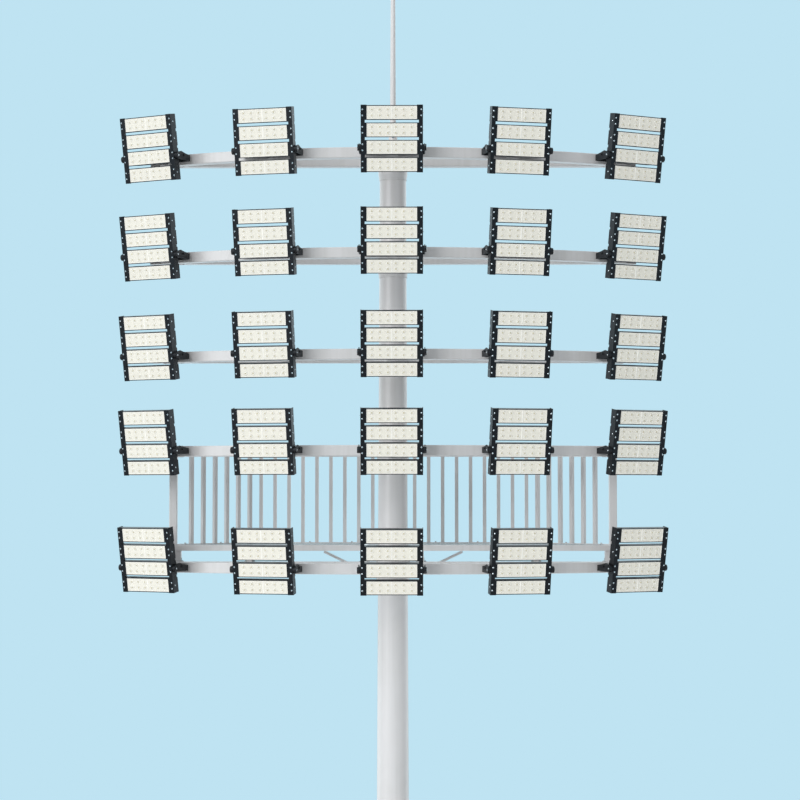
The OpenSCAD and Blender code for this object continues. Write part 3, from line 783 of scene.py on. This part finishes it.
def buildFootWelds(values):
    # bead around the mast's foot and along both sides of every gusset rib
    bm = bmesh.new()
    z, half, lumps = values["flangeTop"], values["ribHalf"], values["ribLumps"]
    start = mastRadius(z)
    run = values["ribOut"] - start
    addBead(bm, ringPath(start, z), values["bead"])
    for k in range(values["boltCount"]):
        place = turned(360 * (k + 0.5) / values["boltCount"], "Z")
        for side in (-1, 1):
            path = [place @ Vector((start + run * t / lumps, side * half, z)) for t in range(lumps + 1)]
            addBead(bm, path, values["bead"] * values["ribBead"])
    return bm


makePiece("capDetails", buildCapDetails(mastValues), [mastPaint, stainless], mastBody)
makePiece("doorScrews", buildDoorScrews(doorValues), [stainless], mastBody)
makePiece("anchorNuts", buildAnchors(footValues), [galvanisedSteel], mastBody)
makePiece("footWelds", buildFootWelds(footValues), [galvanisedSteel], mastBody)
print("mast detailed")


# Lamp frames: welds and end plates

frameValues = {
    "bar": 0.120,
    "spacer": 0.080,
    "collarWall": 0.016,
    "collarBelow": 0.155,    # from the middle of the bar down to the end of the sleeve
    "collarSkirt": 0.060,
    "collarAbove": 0.075,
    "arcRadius": 5.840,
    "arcFront": 0.715,
    "arcHalf": 28.8,         # degrees
    "spacerTurn": 13.4,
    "bead": 0.006,
    "edgeOff": 0.001,        # middle of a bead off the edge that it runs along
    "faceOff": 0.002,        # and off the round face that it lies on
    "curveLumps": 14,        # on each side of the longer seams at the curved bar
    "plateThick": 0.005,
    "plateInset": 0.014,     # how much smaller than the bar an end plate is
    "plateOut": 0.002,
    "plateBevel": 0.0015,
}


def buildFrameWelds(values, z):
    # beads between mast and collar, collar and bars, and straight and curved bar
    bm = bmesh.new()
    edgeOff, faceOff, bead = values["edgeOff"], values["faceOff"], values["bead"]
    top, low = z + values["collarAbove"], z - values["collarBelow"] - values["collarSkirt"]
    addBead(bm, ringPath(mastRadius(top) + edgeOff, top), bead)
    addBead(bm, ringPath(mastRadius(low) + faceOff, low), bead)
    half = values["bar"] / 2 + edgeOff
    around = mastRadius(z) + values["collarWall"] + faceOff
    for u, v in [(1, 0), (-1, 0), (0, -1)]:
        addBead(bm, [Vector((math.sqrt(around ** 2 - a ** 2) * u + a * abs(v),
                             math.sqrt(around ** 2 - a ** 2) * v + a * abs(u), z + b))
                     for a, b in squareLoop(half)], bead)
    centreY = values["arcRadius"] - values["arcFront"]
    inside = values["arcRadius"] - values["bar"] - faceOff
    for side in (-1, 1):
        addBead(bm, [Vector((side * math.sqrt(inside ** 2 - (centreY - a) ** 2), a, z + b))
                     for a, b in squareLoop(half, values["curveLumps"])], bead)
    spacerHalf = values["spacer"] / 2 + edgeOff
    for turn, size in [(0, half), (-values["spacerTurn"], spacerHalf), (values["spacerTurn"], spacerHalf)]:
        place = shift(0, centreY, z) @ turned(turn, "Z")
        addBead(bm, [place @ Vector((a, -math.sqrt(inside ** 2 - a ** 2), b)) for a, b in squareLoop(size)],
                bead)
    return bm


def buildEndPlates(values, z):
    # closing plates in the two ends of a curved bar
    bm = bmesh.new()
    centreY = values["arcRadius"] - values["arcFront"]
    middle = values["arcRadius"] - values["bar"] / 2
    wide = values["bar"] - values["plateInset"]
    for side in (-1, 1):
        place = (shift(0, centreY, z) @ turned(side * values["arcHalf"], "Z")
                 @ shift(side * values["plateOut"], -middle, 0))
        bevelEdges(bm, addBox(bm, (values["plateThick"], wide, wide), place), values["plateBevel"], 2)
    return bm


for row, z in enumerate(frameHeights):
    makePiece("frameWelds%d" % (row + 1), buildFrameWelds(frameValues, z), [mastPaint], mastBody)
    makePiece("endPlates%d" % (row + 1), buildEndPlates(frameValues, z), [mastPaint], mastBody)
print("frames welded")


# Balcony: grating, bolts of the railing and caps of the posts

deckValues = {
    "top": 15.570,
    "gratingThick": 0.025,
    "front": -0.008,
    "rear": 0.848,
    "cornerX": 1.585,        # corner of the rear railing
    "cornerY": 0.880,
    "sideTurn": 40.42,       # degrees between rear and side railing
    "inset": 0.032,          # from the middle of the railing to the grating
    "panelEnds": ((0.352, 0.8175), (0.8225, 1.230), (1.235, 1.6425), (1.6475, 2.055), (2.060, 2.443)),
    "barPitch": 0.034,
    "barThick": 0.004,
    "kinkInset": 0.012,      # from the railing's corner to the grating's
    "rodPitch": 0.100,
    "rodThick": 0.007,
    "rodSink": 0.6,          # share of its thickness that its middle lies below the top
    "rodEdge": 0.020,        # least distance of a rod from the rear edge, and its least length
    "rodClear": 0.004,       # least distance of its end from the slanted edge
    "rodStep": 0.010,        # by which it is shortened until it clears
}

clipValues = {
    "fromSide": 0.055,       # middle of a clip from the edges of its panel
    "fromFront": 0.052,
    "fromRear": 0.090,
    "size": (0.060, 0.030, 0.003),
    "bolt": 0.010,
}


def rearEdge(x, values):
    # depth of the grating's edge at a distance from the mast's axis
    turn = math.radians(values["sideTurn"])
    slant = values["cornerY"] - (values["inset"] + (x - values["cornerX"]) * math.sin(turn)) / math.cos(turn)
    return min(values["rear"], slant)


def addEdgeBar(bm, a, b, values):
    # flat bar on edge between two places of the deck
    run = math.hypot(b[0] - a[0], b[1] - a[1])
    turn = math.degrees(math.atan2(b[1] - a[1], b[0] - a[0]))
    middle = shift((a[0] + b[0]) / 2, (a[1] + b[1]) / 2, values["top"] - values["gratingThick"] / 2)
    addBox(bm, (run, values["barThick"], values["gratingThick"]), middle @ turned(turn, "Z"))


def addGratingPanel(bm, x0, x1, side, values):
    # bearing bars across the deck, twisted rods over them, and a flat bar all around
    inset = values["barThick"] / 2
    left, right, front = x0 + inset, x1 - inset, values["front"] + inset
    kink = values["cornerX"] - values["kinkInset"]
    rim = [(left, front), (right, front), (right, rearEdge(right, values) - inset)]
    if left < kink < right:
        rim.append((kink, values["rear"] - inset))
    rim.append((left, rearEdge(left, values) - inset))
    for a, b in zip(rim, rim[1:] + rim[:1]):
        addEdgeBar(bm, (side * a[0], a[1]), (side * b[0], b[1]), values)
    count = round((right - left) / values["barPitch"])
    for k in range(1, count):
        x = left + (right - left) * k / count
        addEdgeBar(bm, (side * x, front), (side * x, rearEdge(x, values) - inset), values)
    rod, edge = values["rodThick"], values["rodEdge"]
    rodZ = values["top"] - rod * values["rodSink"]
    y = front + values["rodPitch"] / 2
    while y < rearEdge(left, values) - edge:
        reach = right
        while rearEdge(reach, values) < y + values["rodClear"] and reach > left + edge:
            reach -= values["rodStep"]
        addBox(bm, (reach - left, rod, rod), shift(side * (left + reach) / 2, y, rodZ) @ turned(45, "X"))
        y += values["rodPitch"]


def buildGrating(values):
    bm = bmesh.new()
    for side in (-1, 1):
        for x0, x1 in values["panelEnds"]:
            addGratingPanel(bm, x0, x1, side, values)
    return bm


def buildGratingClips(values, deck):
    # saddle clips that hold the grating panels down, near the corners of each
    bm = bmesh.new()
    thick = values["size"][2]
    for side in (-1, 1):
        for x0, x1 in deck["panelEnds"]:
            for x in (x0 + values["fromSide"], x1 - values["fromSide"]):
                for y in (deck["front"] + values["fromFront"], rearEdge(x, deck) - values["fromRear"]):
                    addBox(bm, values["size"], shift(side * x, y, deck["top"] + thick / 2))
                    addBolt(bm, shift(side * x, y, deck["top"] + thick), values["bolt"])
    return bm


railValues = {
    "pitch": 0.16684,        # between two balusters
    "stripTop": 15.580,
    "railUnder": 16.615,
    "bolt": 0.018,
    "rearBolts": 7,
    "sideBolts": 3,
    "boltEvery": 3,          # balusters, the first in the middle of the first gap
    "splice": (0.110, 0.046, 0.005),
    "spliceBevel": 0.001,
    "spliceBoltsX": (0.045, 0.085),
    "spliceBolt": 0.013,
}

postValues = {
    "x": 2.540,
    "y": 0.105,
    "half": 0.045,
    "top": 16.705,
    "lidInset": 0.006,
    "lidThick": 0.008,
    "lidBevel": 0.003,
    "bolt": 0.019,
    "boltStep": 0.028,       # of a bolt from the middle of the frame's bar
}

cleatValues = {
    "blockX": (0.325, 1.645, 2.465),
    "blockHalf": 0.030,
    "foot": 0.030,           # length of the leg on the beam
    "depth": 0.060,
    "thick": 0.006,
    "height": 0.045,
    "boltOut": 0.016,
    "bolt": 0.012,
}


def panelPlace(side, z):
    # corner of the rear railing, turned so that +X runs along the side panel
    turn = -deckValues["sideTurn"] if side > 0 else 180 + deckValues["sideTurn"]
    return shift(side * deckValues["cornerX"], deckValues["cornerY"], z) @ turned(turn, "Z")


def buildRailBolts(values):
    # bolts in the foot strips, and splice plates under the top rail at the two corners
    bm = bmesh.new()
    row = [(0.5 + values["boltEvery"] * k) * values["pitch"] for k in range(values["rearBolts"])]
    for x in row:
        addBolt(bm, shift(x - deckValues["cornerX"], deckValues["cornerY"], values["stripTop"]),
                values["bolt"])
    length, width, thick = values["splice"]
    for side in (-1, 1):
        for x in row[:values["sideBolts"]]:
            addBolt(bm, panelPlace(side, values["stripTop"]) @ shift(x, 0, 0), values["bolt"])
        for place in (panelPlace(side, values["railUnder"]),
                      shift(side * deckValues["cornerX"], deckValues["cornerY"], values["railUnder"])
                      @ turned(180 if side > 0 else 0, "Z")):
            made = addBox(bm, (length, width, thick), place @ shift(length / 2, 0, -thick / 2))
            bevelEdges(bm, made, values["spliceBevel"], 1)
            for x in values["spliceBoltsX"]:
                addBolt(bm, place @ shift(x, 0, -thick) @ turned(180, "X"), values["spliceBolt"])
    return bm


def buildPostCaps(values):
    # lids on the end posts, and the bolts through them at the two frames
    bm = bmesh.new()
    x, y, half = values["x"], values["y"], values["half"]
    wide, thick = 2 * half - values["lidInset"], values["lidThick"]
    for side in (-1, 1):
        made = addBox(bm, (wide, wide, thick), shift(side * x, y, values["top"] + thick / 2))
        bevelEdges(bm, made, values["lidBevel"], 2)
        for z in (frameHeights[-2], frameHeights[-1]):
            for step in (-values["boltStep"], values["boltStep"]):
                addBolt(bm, shift(side * x, y + half, z + step) @ turned(-90, "X"), values["bolt"], 1)
    return bm


def buildCleats(values):
    # angles between the straight beam and the blocks that carry the deck, with their bolts
    bm = bmesh.new()
    barTop = frameHeights[-1] + frameValues["bar"] / 2
    foot, depth, thick, height = (values[name] for name in ("foot", "depth", "thick", "height"))
    for side in (-1, 1):
        for x in values["blockX"]:
            for end in (-1, 1):
                outer = side * x + values["blockHalf"] * end
                addBox(bm, (foot, depth, thick), shift(outer + foot / 2 * end, 0, barTop + thick / 2))
                addBox(bm, (thick, depth, height), shift(outer + thick / 2 * end, 0, barTop + height / 2))
                addBolt(bm, shift(outer + values["boltOut"] * end, 0, barTop + thick), values["bolt"])
    return bm


grating = makePiece("deckGratingBars", buildGrating(deckValues), [galvanisedSteel], mastBody)
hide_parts("deck_grating")
makePiece("gratingClips", buildGratingClips(clipValues, deckValues), [galvanisedSteel], mastBody)
makePiece("railingBolts", buildRailBolts(railValues), [galvanisedSteel], mastBody)
makePiece("postCapsAndBolts", buildPostCaps(postValues), [mastPaint, galvanisedSteel], mastBody)
makePiece("blockCleats", buildCleats(cleatValues), [galvanisedSteel], mastBody)
print("balcony detailed")


# Ladder

ladderValues = {
    "outside": 0.145,        # outer face of a stringer
    "middleY": 0.365,
    "footZ": 2.400,
    "rungPitch": 0.300,
    "rungRadius": 0.012,
    "rungs": 47,
    "stringerThick": 0.012,  # the rungs are welded to its inner face
    "rungBead": 0.003,
    "bracketSteps": (1, 7, 14, 20, 26, 33, 39),
    "bolt": 0.016,
    "boltStep": 0.016,       # of a bolt from the middle of the stringer
}


def buildLadderBolts(values):
    # two bolts through each stringer at every bracket
    bm = bmesh.new()
    for step in values["bracketSteps"]:
        z = values["footZ"] + step * values["rungPitch"]
        for side in (-1, 1):
            for along in (-values["boltStep"], values["boltStep"]):
                addBolt(bm, shift(side * values["outside"], values["middleY"] + along, z)
                        @ turned(side * 90, "Y"), values["bolt"])
    return bm


def buildRungWelds(values):
    # small bead around both ends of every rung
    bm = bmesh.new()
    inner, radius = values["outside"] - values["stringerThick"], values["rungRadius"]
    turns = [math.radians(45 * n) for n in range(9)]
    for k in range(values["rungs"]):
        z = values["footZ"] + values["rungPitch"] * (k + 0.5)
        for side in (-1, 1):
            loop = [Vector((side * inner, values["middleY"] + radius * math.cos(a), z + radius * math.sin(a)))
                    for a in turns]
            addBead(bm, loop, values["rungBead"])
    return bm


makePiece("ladderBolts", buildLadderBolts(ladderValues), [galvanisedSteel], mastBody)
makePiece("rungWelds", buildRungWelds(ladderValues), [galvanisedSteel], mastBody)
print("ladder detailed")


# Camera, light and floor

cameraValues = {
    "lens": 90.45,           # mm
    "sensor": 36,
    "seesTo": 500,           # metres
    "place": (0.269, -23.167, 16.204),
    "tiltUp": 2.559,         # degrees
    "turnLeft": 0.463,
}


def placeCamera(values):
    camera = bpy.data.cameras.new("camera")
    camera.lens = values["lens"]
    camera.sensor_width = values["sensor"]
    camera.clip_end = values["seesTo"]
    holder = bpy.data.objects.new("camera", camera)
    holder.matrix_world = (shift(*values["place"]) @ turned(values["turnLeft"], "Z")
                           @ turned(90 + values["tiltUp"], "X"))
    bpy.context.scene.collection.objects.link(holder)
    bpy.context.scene.camera = holder


lightValues = {
    "suns": {                # where each comes from, its strength, and how wide it is in degrees
        "softKey": ((-0.62, -0.69, 0.36), 2.05, 50),
        "softRight": ((0.80, -0.55, 0.20), 0.22, 60),
        "softTop": ((0.0, -0.25, 0.97), 0.48, 60),
        "softBack": ((0.0, 0.90, 0.43), 0.53, 60),
        "softBackLeft": ((-0.78, 0.60, 0.20), 0.42, 50),
        "softBackRight": ((0.78, 0.60, 0.20), 0.64, 50),
        "floorBounce": ((0.0, -0.20, -0.98), 1.3, 90),
    },
    "skyStrength": 0.37,
    "backdrop": "#BFE3F2",
    "floor": "#E8ECEE",
    "floorShade": "#E2E7E9",
    "floorCloudMm": 2500,
    "floorRoughness": 0.8,
    "floorRadius": 72.0,
    "floorFade": (26.0, 70.0),   # where the floor begins and ends to pass into the backdrop
}


def lightScene(values):
    scene = bpy.context.scene
    scene.view_settings.view_transform = "Standard"
    for name, (source, strength, angle) in values["suns"].items():
        sun = bpy.data.lights.new(name, "SUN")
        sun.energy = strength
        sun.angle = math.radians(angle)
        holder = bpy.data.objects.new(name, sun)
        holder.rotation_euler = Vector(source).to_track_quat("Z", "Y").to_euler()
        scene.collection.objects.link(holder)
    world = bpy.data.worlds.new("studio")
    scene.world = world
    world.use_nodes = True
    tree = world.node_tree
    tree.nodes.clear()
    soft = addNode(tree, "ShaderNodeBackground", {"Color": (1, 1, 1, 1), "Strength": values["skyStrength"]})
    seen = addNode(tree, "ShaderNodeBackground", {"Color": linear(values["backdrop"]), "Strength": 1.0})
    rays = addNode(tree, "ShaderNodeLightPath").outputs
    some = addNode(tree, "ShaderNodeMath", links={0: rays["Is Camera Ray"], 1: rays["Is Glossy Ray"]},
                   operation="MAXIMUM").outputs[0]
    shown = addNode(tree, "ShaderNodeMath", links={0: some, 1: rays["Is Transmission Ray"]},
                    operation="MAXIMUM").outputs[0]
    mixed = addNode(tree, "ShaderNodeMixShader", links={0: shown, 1: soft.outputs[0], 2: seen.outputs[0]})
    addNode(tree, "ShaderNodeOutputWorld", links={"Surface": mixed.outputs[0]})


def layFloor(values):
    material, tree, shader, coords = newMaterial("pouredPaleFloor")
    cloud = addNode(tree, "ShaderNodeTexNoise", {"Scale": perMetre(values["floorCloudMm"]), "Detail": 3.0},
                    {"Vector": coords}).outputs[0]
    colour = addNode(tree, "ShaderNodeMix", {6: linear(values["floor"]), 7: linear(values["floorShade"])},
                     {0: cloud}, data_type="RGBA").outputs[2]
    shader.inputs["Roughness"].default_value = values["floorRoughness"]
    tree.links.new(colour, shader.inputs["Base Color"])
    away = addNode(tree, "ShaderNodeVectorMath", links={0: coords}, operation="LENGTH").outputs["Value"]
    near, far = values["floorFade"]
    fade = addNode(tree, "ShaderNodeMapRange", {"From Min": near, "From Max": far},
                   {"Value": away}, interpolation_type="SMOOTHSTEP").outputs[0]
    clear = addNode(tree, "ShaderNodeBsdfTransparent")
    mixed = addNode(tree, "ShaderNodeMixShader", links={0: fade, 1: shader.outputs[0], 2: clear.outputs[0]})
    output = next(node for node in tree.nodes if node.type == "OUTPUT_MATERIAL")
    tree.links.new(mixed.outputs[0], output.inputs["Surface"])
    bm = bmesh.new()
    bmesh.ops.create_circle(bm, cap_ends=True, segments=96, radius=values["floorRadius"])
    mesh = bpy.data.meshes.new("floor")
    bm.to_mesh(mesh)
    bm.free()
    mesh.materials.append(material)
    floor = bpy.data.objects.new("floor", mesh)
    floor.visible_shadow = False     # the bounce light passes it; it still takes the pylon's shadow
    bpy.context.scene.collection.objects.link(floor)


placeCamera(cameraValues)
lightScene(lightValues)
layFloor(lightValues)
print("camera, light and floor set")
